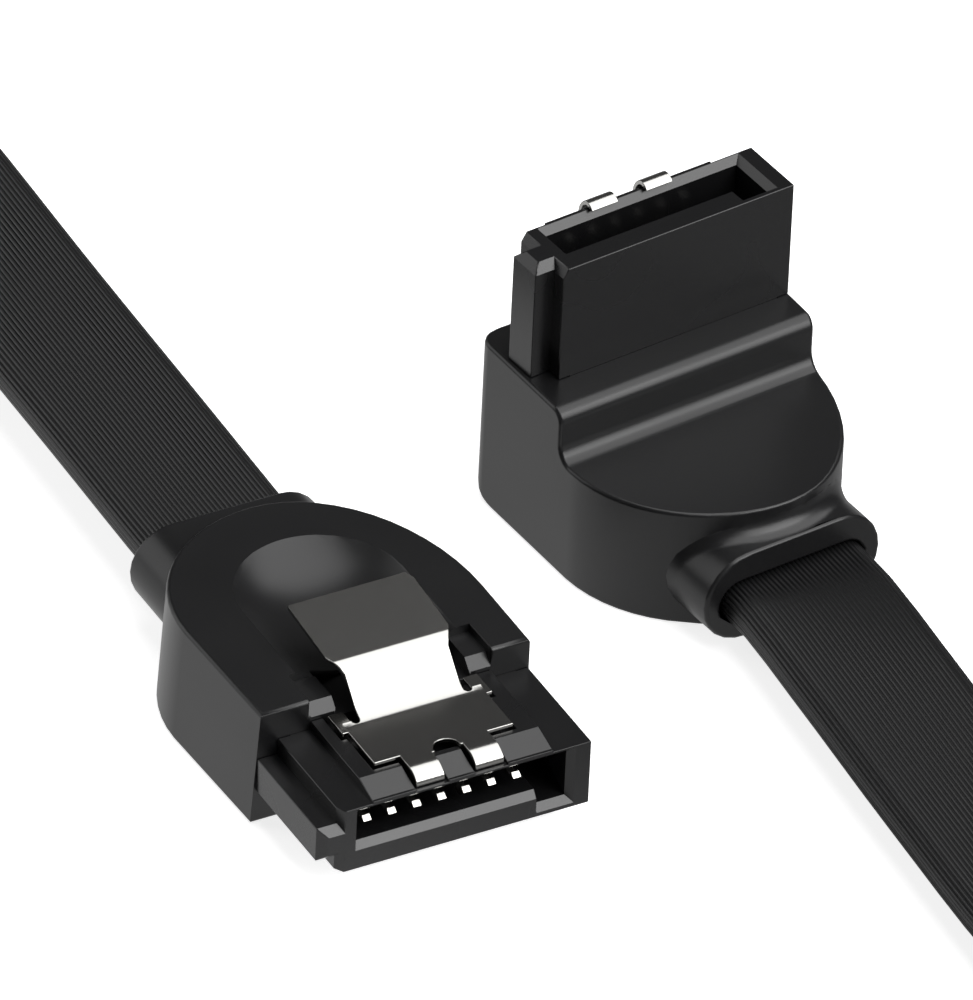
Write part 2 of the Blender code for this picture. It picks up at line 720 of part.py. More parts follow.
def add_latch_recess(prefix, frame, body, cover, bowl_end):
    """Cut the stepped channel under the latch and the thumb bowl behind it, in the housing frame."""
    above = cover + 0.001
    front = HOUSING_EXPOSED - 0.001
    wide = [
        (front, CHANNEL_STEP - CHANNEL_CHAMFER),
        (HOUSING_EXPOSED, CHANNEL_STEP - CHANNEL_CHAMFER),
        (HOUSING_EXPOSED + CHANNEL_CHAMFER, CHANNEL_STEP),
        (CHANNEL_END, CHANNEL_STEP),
        (CHANNEL_END, above),
        (front, above),
    ]
    shelf = prism(f"{prefix}_shelf_cutter", wide, "X", (CHANNEL_LEFT, CHANNEL_RIGHT), frame)
    channel = box(
        f"{prefix}_latch_channel_cutter",
        (CHANNEL_INNER_LEFT, CHANNEL_INNER_RIGHT),
        (front, CHANNEL_END + 0.0005),
        (BOWL_FLOOR, above),
        frame,
    )
    cut(body, shelf, channel, build_bowl_cutter(prefix, frame, cover, bowl_end))


def housing_seat(prefix, frame, body):
    """Cut the seat of the housing's tail, in the housing frame."""
    cut(body, box(
        f"{prefix}_seat_cutter",
        (HOUSING_LEFT + HOUSING_TAIL_INSET - SEAT_GAP, HOUSING_RIGHT - HOUSING_TAIL_INSET + SEAT_GAP),
        (HOUSING_EXPOSED - 0.002, HOUSING_LENGTH + FIT_GAP),
        (-SEAT_GAP, HOUSING_HEIGHT + SEAT_GAP),
        frame,
    ))


def ribbon_bore(prefix, frame, body, middle, inner, outer):
    """Cut the stadium hole that the ribbon leaves through."""
    gap = FIT_GAP * 2.0
    outline = stadium(RIBBON_WIDTH + gap * 2.0, RIBBON_THICKNESS + gap * 2.0, middle)
    rings = [[(x, y, z) for x, z in outline] for y in (inner, outer)]
    cut(body, loft(f"{prefix}_ribbon_cutter", rings, frame))


def core_x(index, middle):
    """Where a conductor lies across the ribbon."""
    return middle + (index - (CONTACT_COUNT - 1) / 2.0) * CORE_PITCH


def build_straight(finish):
    """The straight connector, from its housing back to the collar."""
    body_frame = make_frame("straight_frame", (0.0, STRAIGHT_RIM_Y, 0.0))
    frame = make_frame("straight_housing_frame", (0.0, 0.0, STRAIGHT_LIFT), parent=body_frame)
    build_housing("straight", frame, STRAIGHT_LATCH_CENTRE, 0.0, finish["insulator"])
    build_contacts("straight", frame, STRAIGHT_CONTACT_SETBACK, finish["contact"])
    build_latch("straight", frame, STRAIGHT_LATCH_CENTRE, 0.0, STRAIGHT_ROLL, finish["latch"])

    height = STRAIGHT_LIFT + BODY_COVER
    rings = []
    for z, draft in ((0.0, STRAIGHT_DRAFT), (height, 0.0)):
        rings.append([(x, HOUSING_EXPOSED + y, z) for x, y in body_outline(STRAIGHT_BODY_LENGTH, draft)])
    body = loft("straight_overmould", rings, body_frame, finish["overmould"])
    nose = HOUSING_EXPOSED + STRAIGHT_BODY_LENGTH
    collar_end = nose + STRAIGHT_COLLAR_REACH
    middle = (CORD_X, STRAIGHT_COLLAR_LEVEL)
    height = STRAIGHT_COLLAR_HEIGHT
    add_collar("straight", body_frame, body, middle, height, nose, collar_end, STRAIGHT_COLLAR_FLARE)
    add_latch_recess("straight", frame, body, BODY_COVER, STRAIGHT_BOWL_END)
    housing_seat("straight", frame, body)

    mould_start = HOUSING_LENGTH + FIT_GAP * 2.0
    mould_end = mould_start + STRAIGHT_MOULD_LENGTH
    mould_top = HOUSING_HEIGHT - FIT_GAP
    ribbon_level = STRAIGHT_COLLAR_LEVEL - STRAIGHT_LIFT
    spans = (MOULD_SPAN, (mould_start, mould_end), (mould_top - MOULD_HEIGHT, mould_top))
    mould = box("straight_inner_mould", *spans, frame, finish["inner_mould"])
    pocket = [(low - FIT_GAP, high + FIT_GAP) for low, high in spans]
    pocket[1] = (HOUSING_LENGTH - FIT_GAP, mould_end + CORD_GAP)
    cut(body, box("straight_pocket_cutter", *pocket, frame))
    ribbon_end = mould_end + CORD_GAP
    ribbon_bore("straight", body_frame, body, middle, mould_end, collar_end + 0.001)

    routes = []
    for index in range(CONTACT_COUNT):
        start = Vector((contact_x(index), HOUSING_LENGTH + CONTACT_TAIL + CORD_GAP, CONTACT_LEVEL))
        end = Vector((core_x(index, CORD_X), mould_end, ribbon_level))
        corner = Vector((start.x, (start.y + end.y) / 2.0, start.z))
        routes.append((start, corner, end))
    build_wires("straight", frame, routes, mould, finish["conductor"])
    return body_frame, collar_end, ribbon_end


def build_angle(finish):
    """The right-angle connector, whose mouth faces up."""
    body_frame = make_frame("angle_frame", (*ANGLE_PLACE, 0.0), (0.0, 0.0, ANGLE_YAW))
    rim = ANGLE_BODY_HEIGHT + HOUSING_EXPOSED
    frame = make_frame("angle_housing_frame", (0.0, 0.0, rim), (math.radians(-90.0), 0.0, 0.0), parent=body_frame)
    build_housing("angle", frame, ANGLE_LATCH_CENTRE, ANGLE_LATCH_ADVANCE, finish["insulator"])
    build_contacts("angle", frame, ANGLE_CONTACT_SETBACK, finish["contact"])
    build_latch("angle", frame, ANGLE_LATCH_CENTRE, ANGLE_LATCH_ADVANCE, ANGLE_ROLL, finish["latch"])

    plan = [(x, ANGLE_COVER - y) for x, y in body_outline(ANGLE_BODY_LENGTH, ANGLE_SPREAD, ANGLE_CORNER)]
    body = prism("angle_overmould", plan, "Z", (0.0, ANGLE_BODY_HEIGHT), body_frame, finish["overmould"])
    nose = ANGLE_COVER - ANGLE_BODY_LENGTH
    collar_end = nose - ANGLE_COLLAR_REACH
    middle = (CORD_X, ANGLE_COLLAR_LEVEL)
    height = ANGLE_COLLAR_HEIGHT
    add_collar("angle", body_frame, body, middle, height, nose, collar_end, ANGLE_COLLAR_FLARE)
    profile = arc((ANGLE_COVER - ANGLE_BACK_FILLET, ANGLE_BACK_FILLET), ANGLE_BACK_FILLET, -90.0, 0.0, 8)
    profile += [(ANGLE_COVER, ANGLE_BODY_HEIGHT)]
    top_centre = (ANGLE_FRONT_WALL + ANGLE_TOP_FILLET, ANGLE_BODY_HEIGHT - ANGLE_TOP_FILLET)
    profile += arc(top_centre, ANGLE_TOP_FILLET, 90.0, 180.0, 6)
    step_centre = (ANGLE_FRONT_WALL - ANGLE_STEP_FILLET, ANGLE_FOOT_HEIGHT + ANGLE_STEP_FILLET)
    profile += arc(step_centre, ANGLE_STEP_FILLET, 0.0, -90.0, 6)
    profile += [(collar_end - 0.001, ANGLE_FOOT_HEIGHT), (collar_end - 0.001, 0.0)]
    side = prism("angle_side_guide", profile, "X", (BODY_LEFT - 0.001, BODY_RIGHT + 0.001), body_frame)
    add_boolean(body, side, "INTERSECT")
    add_latch_recess("angle", frame, body, ANGLE_COVER, ANGLE_BOWL_END)
    housing_seat("angle", frame, body)

    mould_top = rim - HOUSING_LENGTH - FIT_GAP * 2.0
    mould_bottom = ANGLE_CORD_LEVEL - MOULD_HEIGHT / 2.0 - 0.0002
    mould_back = HOUSING_HEIGHT - FIT_GAP
    spans = (MOULD_SPAN, (-ANGLE_MOULD_REACH, mould_back), (mould_bottom, mould_top))
    mould = box("angle_inner_mould", *spans, body_frame, finish["inner_mould"])
    pocket = [(low - FIT_GAP, high + FIT_GAP) for low, high in spans]
    pocket[1] = (-ANGLE_MOULD_REACH - CORD_GAP, mould_back + FIT_GAP)
    pocket[2] = (mould_bottom - FIT_GAP, mould_top + FIT_GAP * 3.0)
    cut(body, box("angle_pocket_cutter", *pocket, body_frame))
    ribbon_end = -ANGLE_MOULD_REACH - CORD_GAP
    middle = (CORD_X, ANGLE_CORD_LEVEL)
    ribbon_bore("angle", body_frame, body, middle, -ANGLE_MOULD_REACH, collar_end - 0.001)

    routes = []
    for index in range(CONTACT_COUNT):
        tail_end = rim - HOUSING_LENGTH - CONTACT_TAIL
        start = Vector((contact_x(index), CONTACT_LEVEL, tail_end - CORD_GAP))
        end = Vector((core_x(index, CORD_X), -ANGLE_MOULD_REACH, ANGLE_CORD_LEVEL))
        corner = Vector((start.x, start.y, end.z))
        routes.append((start, corner, end))
    build_wires("angle", body_frame, routes, mould, finish["conductor"])
    return body_frame, collar_end, ribbon_end


# Cable

def smooth_route(points, step):
    """Evenly spaced points on a smooth curve through the given ones, each (x, y, z, tilt)."""
    knots = [Vector(point) for point in points]
    dense = []
    for index in range(len(knots) - 1):
        before = knots[max(index - 1, 0)]
        here = knots[index]
        after = knots[index + 1]
        beyond = knots[min(index + 2, len(knots) - 1)]
        for part in range(24):
            t = part / 24.0
            dense.append(
                0.5 * (2.0 * here + (after - before) * t
                       + (2.0 * before - 5.0 * here + 4.0 * after - beyond) * t * t
                       + (3.0 * here - before - 3.0 * after + beyond) * t * t * t)
            )
    dense.append(knots[-1])
    lengths = [0.0]
    for first, second in zip(dense, dense[1:]):
        lengths.append(lengths[-1] + (second.xyz - first.xyz).length)
    count = round(lengths[-1] / step)
    even = []
    cursor = 0
    for index in range(count + 1):
        target = lengths[-1] * index / count
        while cursor < len(lengths) - 2 and lengths[cursor + 1] < target:
            cursor += 1
        span = lengths[cursor + 1] - lengths[cursor]
        even.append(dense[cursor].lerp(dense[cursor + 1], (target - lengths[cursor]) / span))
    return even


def collar_points(body_frame, collar_end, ribbon_end, middle):
    """The ribbon's end inside the collar and a point just past the collar, in the world."""
    turn = Matrix.Rotation(body_frame.rotation_euler.z, 4, "Z")
    place = Matrix.Translation(body_frame.location) @ turn
    past = 0.001 if collar_end > ribbon_end else -0.001
    inner = place @ Vector((middle[0], ribbon_end, middle[1]))
    mouth = place @ Vector((middle[0], collar_end + past, middle[1]))
    return (*inner, 0.0), (*mouth, 0.0)


def build_cable(start_points, end_points, material):
    """The ribbon along its route, flat in the collars and on edge round the turns."""
    points = smooth_route([*start_points, *CABLE_ROUTE, *reversed(end_points)], ROUTE_STEP)
    curve = bpy.data.curves.new("cable_jacket", "CURVE")
    curve.dimensions = "3D"
    curve.twist_mode = "Z_UP"
    curve.use_fill_caps = True
    curve.bevel_mode = "OBJECT"
    section = bpy.data.curves.new("ribbon_section", "CURVE")
    section.dimensions = "2D"
    section.fill_mode = "NONE"
    outline = stadium(RIBBON_WIDTH, RIBBON_THICKNESS, (0.0, 0.0), steps=2)
    ring = section.splines.new("POLY")
    ring.points.add(len(outline) - 1)
    for target, (x, y) in zip(ring.points, reversed(outline)):
        target.co = (x, y, 0.0, 1.0)
    ring.use_cyclic_u = True
    profile = bpy.data.objects.new("ribbon_section_guide", section)
    profile.hide_render = True
    profile.display_type = "WIRE"
    bpy.data.collections[GUIDES].objects.link(profile)
    curve.bevel_object = profile
    spline = curve.splines.new("POLY")
    spline.points.add(len(points) - 1)
    for target, point in zip(spline.points, points):
        target.co = (point.x, point.y, point.z, 1.0)
        target.tilt = math.radians(point.w)
    cable = bpy.data.objects.new("cable_jacket", curve)
    cable.data.materials.append(material)
    bpy.data.collections[PARTS].objects.link(cable)
    return cable


def main():
    """Build both connectors and the cable between them."""
    clear_scene()
    make_collection(PARTS)
    make_collection(GUIDES)
    finish = {
        "insulator": make_material("black_insulator", (0.012, 0.012, 0.013), 0.42),
        "overmould": make_material("black_overmould", (0.014, 0.014, 0.015), 0.5),
        "inner_mould": make_material("natural_inner_mould", (0.55, 0.53, 0.47), 0.5),
        "contact": make_material("plated_contact", (0.8, 0.79, 0.76), 0.25, 1.0),
        "conductor": make_material("tinned_conductor", (0.62, 0.6, 0.57), 0.35, 1.0),
        "latch": make_material("stainless_latch", (0.56, 0.56, 0.55), 0.22, 1.0),
        "jacket": make_material("black_jacket", (0.02, 0.02, 0.021), 0.45),
    }
    start = collar_points(*build_straight(finish), (CORD_X, STRAIGHT_COLLAR_LEVEL))
    end = collar_points(*build_angle(finish), (CORD_X, ANGLE_CORD_LEVEL))
    build_cable(start, end, finish["jacket"])


main()
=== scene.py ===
"""Looks of the serial ATA data cable: moulded plastics, spring steel, a ribbed jacket and a studio.

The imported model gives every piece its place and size. This script rounds the edges that moulding and
stamping leave, draws the jacket's ribs, and gives each piece the surface that its real material has.
"""

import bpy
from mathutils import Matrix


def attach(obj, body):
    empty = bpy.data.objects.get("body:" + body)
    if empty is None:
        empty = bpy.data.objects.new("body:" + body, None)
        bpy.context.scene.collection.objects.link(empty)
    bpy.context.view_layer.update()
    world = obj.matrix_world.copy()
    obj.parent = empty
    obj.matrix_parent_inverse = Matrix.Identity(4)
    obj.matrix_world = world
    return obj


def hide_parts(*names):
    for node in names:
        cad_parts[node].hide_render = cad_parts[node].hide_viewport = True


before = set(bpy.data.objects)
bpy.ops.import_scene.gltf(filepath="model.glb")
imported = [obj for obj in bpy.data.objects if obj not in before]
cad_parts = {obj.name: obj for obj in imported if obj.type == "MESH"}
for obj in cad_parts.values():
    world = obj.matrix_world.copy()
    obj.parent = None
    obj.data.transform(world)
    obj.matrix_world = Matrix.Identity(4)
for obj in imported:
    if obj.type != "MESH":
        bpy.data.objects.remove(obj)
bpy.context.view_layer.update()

import logging
import math
from collections.abc import Sequence
from dataclasses import dataclass, field
from enum import Enum

import bmesh
import bpy
from mathutils import Matrix, Vector
from mathutils.bvhtree import BVHTree

logging.basicConfig(level=logging.INFO, format="%(levelname)s %(message)s")
log = logging.getLogger("data_cable")


WHITE = (1.0, 1.0, 1.0, 1.0)
# Lengths are in metres and angles in degrees
MERGE_DISTANCE = 0.0000015
SHORTEST_EDGE = 0.0000001
# Edges that turn by more than this are outer corners, which moulding and stamping leave round
CORNER_TURN_DEG = 50.0
# Neighbours that run on nearly straight don't limit a rounding
STRAIGHT_ON_DEG = 150.0
# A piece counts as seated where it lies this close to another
SEAT_DISTANCE = 0.00008
# Roundings smaller than this share of the style's radius are left out
LEAST_ROUNDING = 0.3
# Roundings run smoothly up to this turn, and flat faces outweigh them at their rims
ROUNDING_TURN_DEG = 60.0
FLAT_FACE_WEIGHT = 100.0
FLOOR_GAP = 0.00002
OBJECT_MIDDLE = (0.01, 0.0, 0.0)


class Body(Enum):
    """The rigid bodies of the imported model."""

    CABLE = "cable"
    STRAIGHT_LATCH = "straight_latch"
    ANGLE_LATCH = "angle_latch"


@dataclass(frozen=True)
class EdgeStyle:
    """How a piece's edges came out of its tool.

    The radius is in metres, share is the part of a face's width that a rounding may take, and edges
    that turn by more than crease_deg and aren't rounded stay crisp.
    """

    radius: float
    segments: int
    share: float
    crease_deg: float


# Colour and node helpers

def linear(code: str) -> tuple[float, float, float, float]:
    """Turn an sRGB hex colour into the linear colour that a shader reads.

    Args:
        code: Six hex digits with a leading hash.

    Returns:
        Red, green, blue and an alpha of one.
    """
    channels = []
    for start in (1, 3, 5):
        value = int(code[start:start + 2], 16) / 255.0
        channels.append(value / 12.92 if value <= 0.04045 else ((value + 0.055) / 1.055) ** 2.4)
    return (*channels, 1.0)


def add_node(
    tree: bpy.types.NodeTree,
    kind: str,
    settings: dict[str, object] | None = None,
    inputs: dict[str | int, object] | None = None,
) -> bpy.types.Node:
    """Add a shader node, set it up and link what feeds it.

    Args:
        tree: The node tree that the node joins.
        kind: The node's type, such as ShaderNodeBump.
        settings: Properties of the node by name.
        inputs: Values or output sockets by input name or number.

    Returns:
        The new node.
    """
    node = tree.nodes.new(kind)
    for name, value in (settings or {}).items():
        setattr(node, name, value)
    for name, value in (inputs or {}).items():
        socket = node.inputs[name]
        if isinstance(value, bpy.types.NodeSocket):
            tree.links.new(value, socket)
        else:
            socket.default_value = value
    return node


def start_material(name: str, colour: str) -> tuple[bpy.types.Material, bpy.types.Node]:
    """Make a material whose Principled shader has its base colour.

    Args:
        name: The material's name.
        colour: Its sRGB hex colour.

    Returns:
        The material and its shader.
    """
    material = bpy.data.materials.new(name)
    material.use_nodes = True
    shader = material.node_tree.nodes["Principled BSDF"]
    shader.inputs["Base Color"].default_value = linear(colour)
    return material, shader


def add_noise(
    tree: bpy.types.NodeTree,
    place: bpy.types.NodeSocket,
    size_mm: float,
    detail: float,
) -> bpy.types.NodeSocket:
    """Add a noise whose features have a real size.

    Args:
        tree: The node tree that the noise joins.
        place: Where the noise reads its coordinates.
        size_mm: The features' size in millimetres.
        detail: How many finer octaves it carries.

    Returns:
        The noise's value.
    """
    inputs = {"Vector": place, "Scale": 1000.0 / size_mm, "Detail": detail}
    return add_node(tree, "ShaderNodeTexNoise", inputs=inputs).outputs["Fac"]


def add_surface(
    shader: bpy.types.Node,
    gloss: bpy.types.NodeSocket,
    roughness: tuple[float, float],
    relief: bpy.types.NodeSocket,
    depth_mm: float,
) -> None:
    """Give a shader an uneven roughness and a fine relief.

    Args:
        shader: The Principled shader.
        gloss: The value that the roughness follows.
        roughness: The roughness where gloss is zero and where it is one.
        relief: The relief's height, from zero to one.
        depth_mm: The relief's depth in millimetres.
    """
    tree = shader.id_data
    spread = add_node(
        tree,
        "ShaderNodeMapRange",
        inputs={"Value": gloss, "To Min": roughness[0], "To Max": roughness[1]},
    )
    bump = add_node(
        tree,
        "ShaderNodeBump",
        inputs={"Height": relief, "Strength": 1.0, "Distance": depth_mm / 1000.0},
    )
    tree.links.new(spread.outputs["Result"], shader.inputs["Roughness"])
    tree.links.new(bump.outputs["Normal"], shader.inputs["Normal"])


# Finishes

@dataclass(frozen=True)
class MouldedPlastic:
    """A moulded or extruded plastic with the fine grain of its tool."""

    name: str
    colour: str
    roughness: float
    ior: float
    grain_mm: float
    grain_depth_mm: float
    roughness_drift: float = 0.05
    flow_mm: float = 6.0

    def build(self) -> bpy.types.Material:
        """Make the material.

        Returns:
            The finished material.
        """
        material, shader = start_material(self.name, self.colour)
        shader.inputs["IOR"].default_value = self.ior
        tree = material.node_tree
        place = add_node(tree, "ShaderNodeTexCoord").outputs["Object"]
        add_surface(
            shader,
            gloss=add_noise(tree, place, self.flow_mm, detail=1.0),
            roughness=(self.roughness - self.roughness_drift, self.roughness + self.roughness_drift),
            relief=add_noise(tree, place, self.grain_mm, detail=2.0),
            depth_mm=self.grain_depth_mm,
        )
        return material


@dataclass(frozen=True)
class RolledMetal:
    """A sheet or wire whose rolling left fine lines along one axis."""

    name: str
    colour: str
    roughness: float
    line_mm: float
    line_depth_mm: float
    along: tuple[float, float, float] = (1.0, 0.06, 1.0)
    drift: float = 0.2

    def build(self) -> bpy.types.Material:
        """Make the material.

        Returns:
            The finished material.
        """
        material, shader = start_material(self.name, self.colour)
        shader.inputs["Metallic"].default_value = 1.0
        tree = material.node_tree
        place = add_node(tree, "ShaderNodeTexCoord").outputs["Object"]
        stretch = add_node(tree, "ShaderNodeMapping", inputs={"Vector": place, "Scale": self.along})
        lines = add_noise(tree, stretch.outputs["Vector"], self.line_mm, detail=3.0)
        add_surface(
            shader,
            gloss=lines,
            roughness=(self.roughness * (1.0 - self.drift), self.roughness * (1.0 + self.drift)),
            relief=lines,
            depth_mm=self.line_depth_mm,
        )
        return material


# Glass-filled polyester: dense, a little shiny where the steel tool was polished
INSULATOR = MouldedPlastic("black_polyester_insulator", "#151516", 0.27, 1.57, 0.10, 0.0008)
# Soft vinyl shot over the joint: satin, with a grain just coarse enough to see
OVERMOULD = MouldedPlastic("black_vinyl_overmould", "#161617", 0.33, 1.53, 0.16, 0.0014)
# Extruded vinyl: even along its length, a satin that catches the ridges
JACKET = MouldedPlastic("black_vinyl_jacket", "#151516", 0.36, 1.53, 0.20, 0.0006)
# Unfilled polyolefin, milky and waxy, poured over the soldered joint
INNER_MOULD = MouldedPlastic("natural_polyolefin_mould", "#c4c0b4", 0.48, 1.49, 0.30, 0.0010)
# Spring steel: bright, with faint rolling lines
SPRING_STEEL = RolledMetal("stainless_spring_steel", "#b6b5b2", 0.19, 0.06, 0.0004)
# Bright nickel-like plating on the contact tips, which the photo shows nearly white
PLATED_COPPER = RolledMetal("bright_plated_contact", "#eceae4", 0.24, 0.08, 0.0003)
# Tinned copper, dull and slightly cloudy
TINNED_COPPER = RolledMetal("tinned_copper_wire", "#cfccc6", 0.34, 0.10, 0.0004)


# Mesh helpers

def mesh_from_cad(node: str, flat_deg: float = 0.8) -> bmesh.types.BMesh:
    """Copy a solid's mesh and melt its flat triangles back into whole faces.

    Args:
        node: The solid's node name.
        flat_deg: Faces that meet at less than this angle count as one.

    Returns:
        The cleaned mesh, which the caller frees.
    """
    shape = bmesh.new()
    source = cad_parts[node].data
    points = [shape.verts.new(vertex.co) for vertex in source.vertices]
    for polygon in source.polygons:
        corners = [points[index] for index in polygon.vertices]
        if len(set(corners)) == len(corners):
            # A face that is there twice is added once
            try:
                shape.faces.new(corners)
            except ValueError:
                continue
    bmesh.ops.remove_doubles(shape, verts=shape.verts, dist=MERGE_DISTANCE)
    bmesh.ops.dissolve_degenerate(shape, edges=shape.edges, dist=MERGE_DISTANCE)
    bmesh.ops.recalc_face_normals(shape, faces=shape.faces)
    bmesh.ops.dissolve_limit(
        shape,
        angle_limit=math.radians(flat_deg),
        verts=shape.verts,
        edges=shape.edges,
    )
    return shape


def finished_object(
    name: str,
    shape: bmesh.types.BMesh,
    material: bpy.types.Material,
) -> bpy.types.Object:
    """Turn a mesh under construction into a linked object.

    Args:
        name: The object's name.
        shape: The mesh, which is freed.
        material: Its finish.

    Returns:
        The new object.
    """
    mesh = bpy.data.meshes.new(name)
    shape.to_mesh(mesh)
    shape.free()
    mesh.materials.append(material)
    item = bpy.data.objects.new(name, mesh)
    bpy.context.scene.collection.objects.link(item)
    return item


def bake_modifiers(item: bpy.types.Object) -> None:
    """Replace an object's mesh with what its modifiers make of it.

    Args:
        item: The object, whose modifiers are removed.
    """
    depsgraph = bpy.context.evaluated_depsgraph_get()
    baked = bpy.data.meshes.new_from_object(item.evaluated_get(depsgraph))
    item.modifiers.clear()
    item.data = baked


def rounding_room(edge: bmesh.types.BMEdge) -> float:
    """How far the faces beside an edge reach from it at its ends.

    Args:
        edge: An edge between two faces.

    Returns:
        The shortest reach in metres.
    """
    room = math.inf
    for loop in edge.link_loops:
        for point, beside in (
            (loop.vert, loop.link_loop_prev.edge),
            (loop.link_loop_next.vert, loop.link_loop_next.edge),
        ):
            along = edge.other_vert(point).co - point.co
            aside = beside.other_vert(point).co - point.co
            if min(along.length, aside.length) < SHORTEST_EDGE:
                return 0.0
            angle = along.angle(aside)
            if angle < math.radians(STRAIGHT_ON_DEG):
                room = min(room, aside.length * math.sin(angle))
    return room


def surface_tree(node: str) -> BVHTree:
    """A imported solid's surface, ready to be asked how near a point is.

    Args:
        node: The solid's node name.

    Returns:
        The surface.
    """
    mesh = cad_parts[node].data
    return BVHTree.FromPolygons(
        [vertex.co for vertex in mesh.vertices],
        [tuple(polygon.vertices) for polygon in mesh.polygons],
    )


def round_edges(item: bpy.types.Object, style: EdgeStyle, seated: Sequence[BVHTree] = ()) -> None:
    """Round the outer edges where there is room, and keep flat faces flat.

    Args:
        item: The object to round.
        style: Its edges' radius and creases.
        seated: Surfaces that the piece closes on, where its edges stay crisp.
    """
    shape = bmesh.new()
    shape.from_mesh(item.data)
    layer = shape.edges.layers.float.new("bevel_weight_edge")
    for edge in shape.edges:
        if edge.calc_face_angle(0.0) < math.radians(CORNER_TURN_DEG) or not edge.is_convex:
            continue
        middle = (edge.verts[0].co + edge.verts[1].co) / 2.0
        if any(tree.find_nearest(middle)[3] < SEAT_DISTANCE for tree in seated):
            continue
        weight = min(1.0, style.share * rounding_room(edge) / style.radius)
        if weight > LEAST_ROUNDING:
            edge[layer] = weight
    shape.to_mesh(item.data)
    shape.free()
    item.data.materials.append(item.data.materials[0])
    bevel = item.modifiers.new("moulded edge", "BEVEL")
    bevel.limit_method = "WEIGHT"
    bevel.width = style.radius
    bevel.segments = style.segments
    bevel.use_clamp_overlap = False
    bevel.material = 1
    bake_modifiers(item)
    settle_normals(item.data, style.crease_deg)


def settle_normals(mesh: bpy.types.Mesh, crease_deg: float) -> None:
    """Let roundings, which carry the second material slot, run smoothly between flat faces.

    Args:
        mesh: The rounded mesh.
        crease_deg: Other faces that meet at more than this angle keep a crisp edge.
    """
    faces = [(face.normal.copy(), face.area, face.material_index == 1) for face in mesh.polygons]
    faces_at: list[list[int]] = [[] for _ in mesh.vertices]
    for face in mesh.polygons:
        for vertex in face.vertices:
            faces_at[vertex].append(face.index)
    normals = []
    for face in mesh.polygons:
        facing, _, is_rounding = faces[face.index]
        limit = math.cos(math.radians(ROUNDING_TURN_DEG if is_rounding else crease_deg))
        for vertex in face.vertices:
            total = Vector()
            for beside in faces_at[vertex]:
                toward, area, rounding = faces[beside]
                if facing.dot(toward) > limit and (is_rounding or not rounding):
                    total += toward * area * (1.0 if rounding else FLAT_FACE_WEIGHT)
            normals.append(total.normalized() if total.length > 0.0 else facing)
        face.material_index = 0
    mesh.materials.pop(index=1)
    mesh.shade_smooth()
    mesh.normals_split_custom_set(normals)


# Sub-assemblies

@dataclass
class Connector:
    """One plug: its insulator, overmould, latch, contacts and what the overmould seals."""

    prefix: str
    latch_body: Body
    housing_edge: EdgeStyle = EdgeStyle(0.00005, 2, 0.22, 5.0)
    overmould_edge: EdgeStyle = EdgeStyle(0.00020, 3, 0.22, 24.0)
    latch_edge: EdgeStyle = EdgeStyle(0.00004, 2, 0.22, 24.0)
    contact_count: int = 7
    pieces: list[bpy.types.Object] = field(default_factory=list)

    def node(self, name: str) -> str:
        """The full node name of one of this connector's solids.

        Args:
            name: The solid's short name.

        Returns:
            The node name.
        """
        return f"{self.prefix}_{name}"

    def dress(self, name: str, material: bpy.types.Material) -> None:
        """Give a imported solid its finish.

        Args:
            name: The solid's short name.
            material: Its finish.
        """
        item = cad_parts[self.node(name)]
        item.data.materials.clear()
        item.data.materials.append(material)

    def rounded(
        self,
        name: str,
        body: Body,
        material: bpy.types.Material,
        style: EdgeStyle,
        seated: Sequence[str] = (),
    ) -> bpy.types.Object:
        """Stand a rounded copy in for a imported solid.

        Args:
            name: The solid's short name.
            body: The body that it rides on.
            material: Its finish.
            style: Its edges' radius and creases.
            seated: Nodes that the piece closes on.

        Returns:
            The new piece.
        """
        node = self.node(name)
        item = finished_object(f"{node}_finished", mesh_from_cad(node), material)
        round_edges(item, style, [surface_tree(other) for other in seated])
        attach(item, body.value)
        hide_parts(node)
        self.pieces.append(item)
        log.info("%s: %d faces", item.name, len(item.data.polygons))
        return item

    def build(self, finishes: dict[str, bpy.types.Material]) -> None:
        """Build and dress every piece of the connector.

        Args:
            finishes: Materials by slot name.
        """
        self.rounded(
            "housing", Body.CABLE, finishes["black_insulator"],
            self.housing_edge,
        )
        self.rounded(
            "overmould", Body.CABLE, finishes["black_overmould"],
            self.overmould_edge, (self.node("housing"), "cable_jacket"),
        )
        self.rounded(
            "latch", self.latch_body, finishes["stainless_latch"],
            self.latch_edge,
        )
        self.dress("inner_mould", finishes["natural_inner_mould"])
        for index in range(1, self.contact_count + 1):
            self.dress(f"contact_{index}", finishes["plated_contact"])
            self.dress(f"wire_{index}", finishes["tinned_conductor"])
        log.info("%s connector: %d rounded pieces", self.prefix, len(self.pieces))


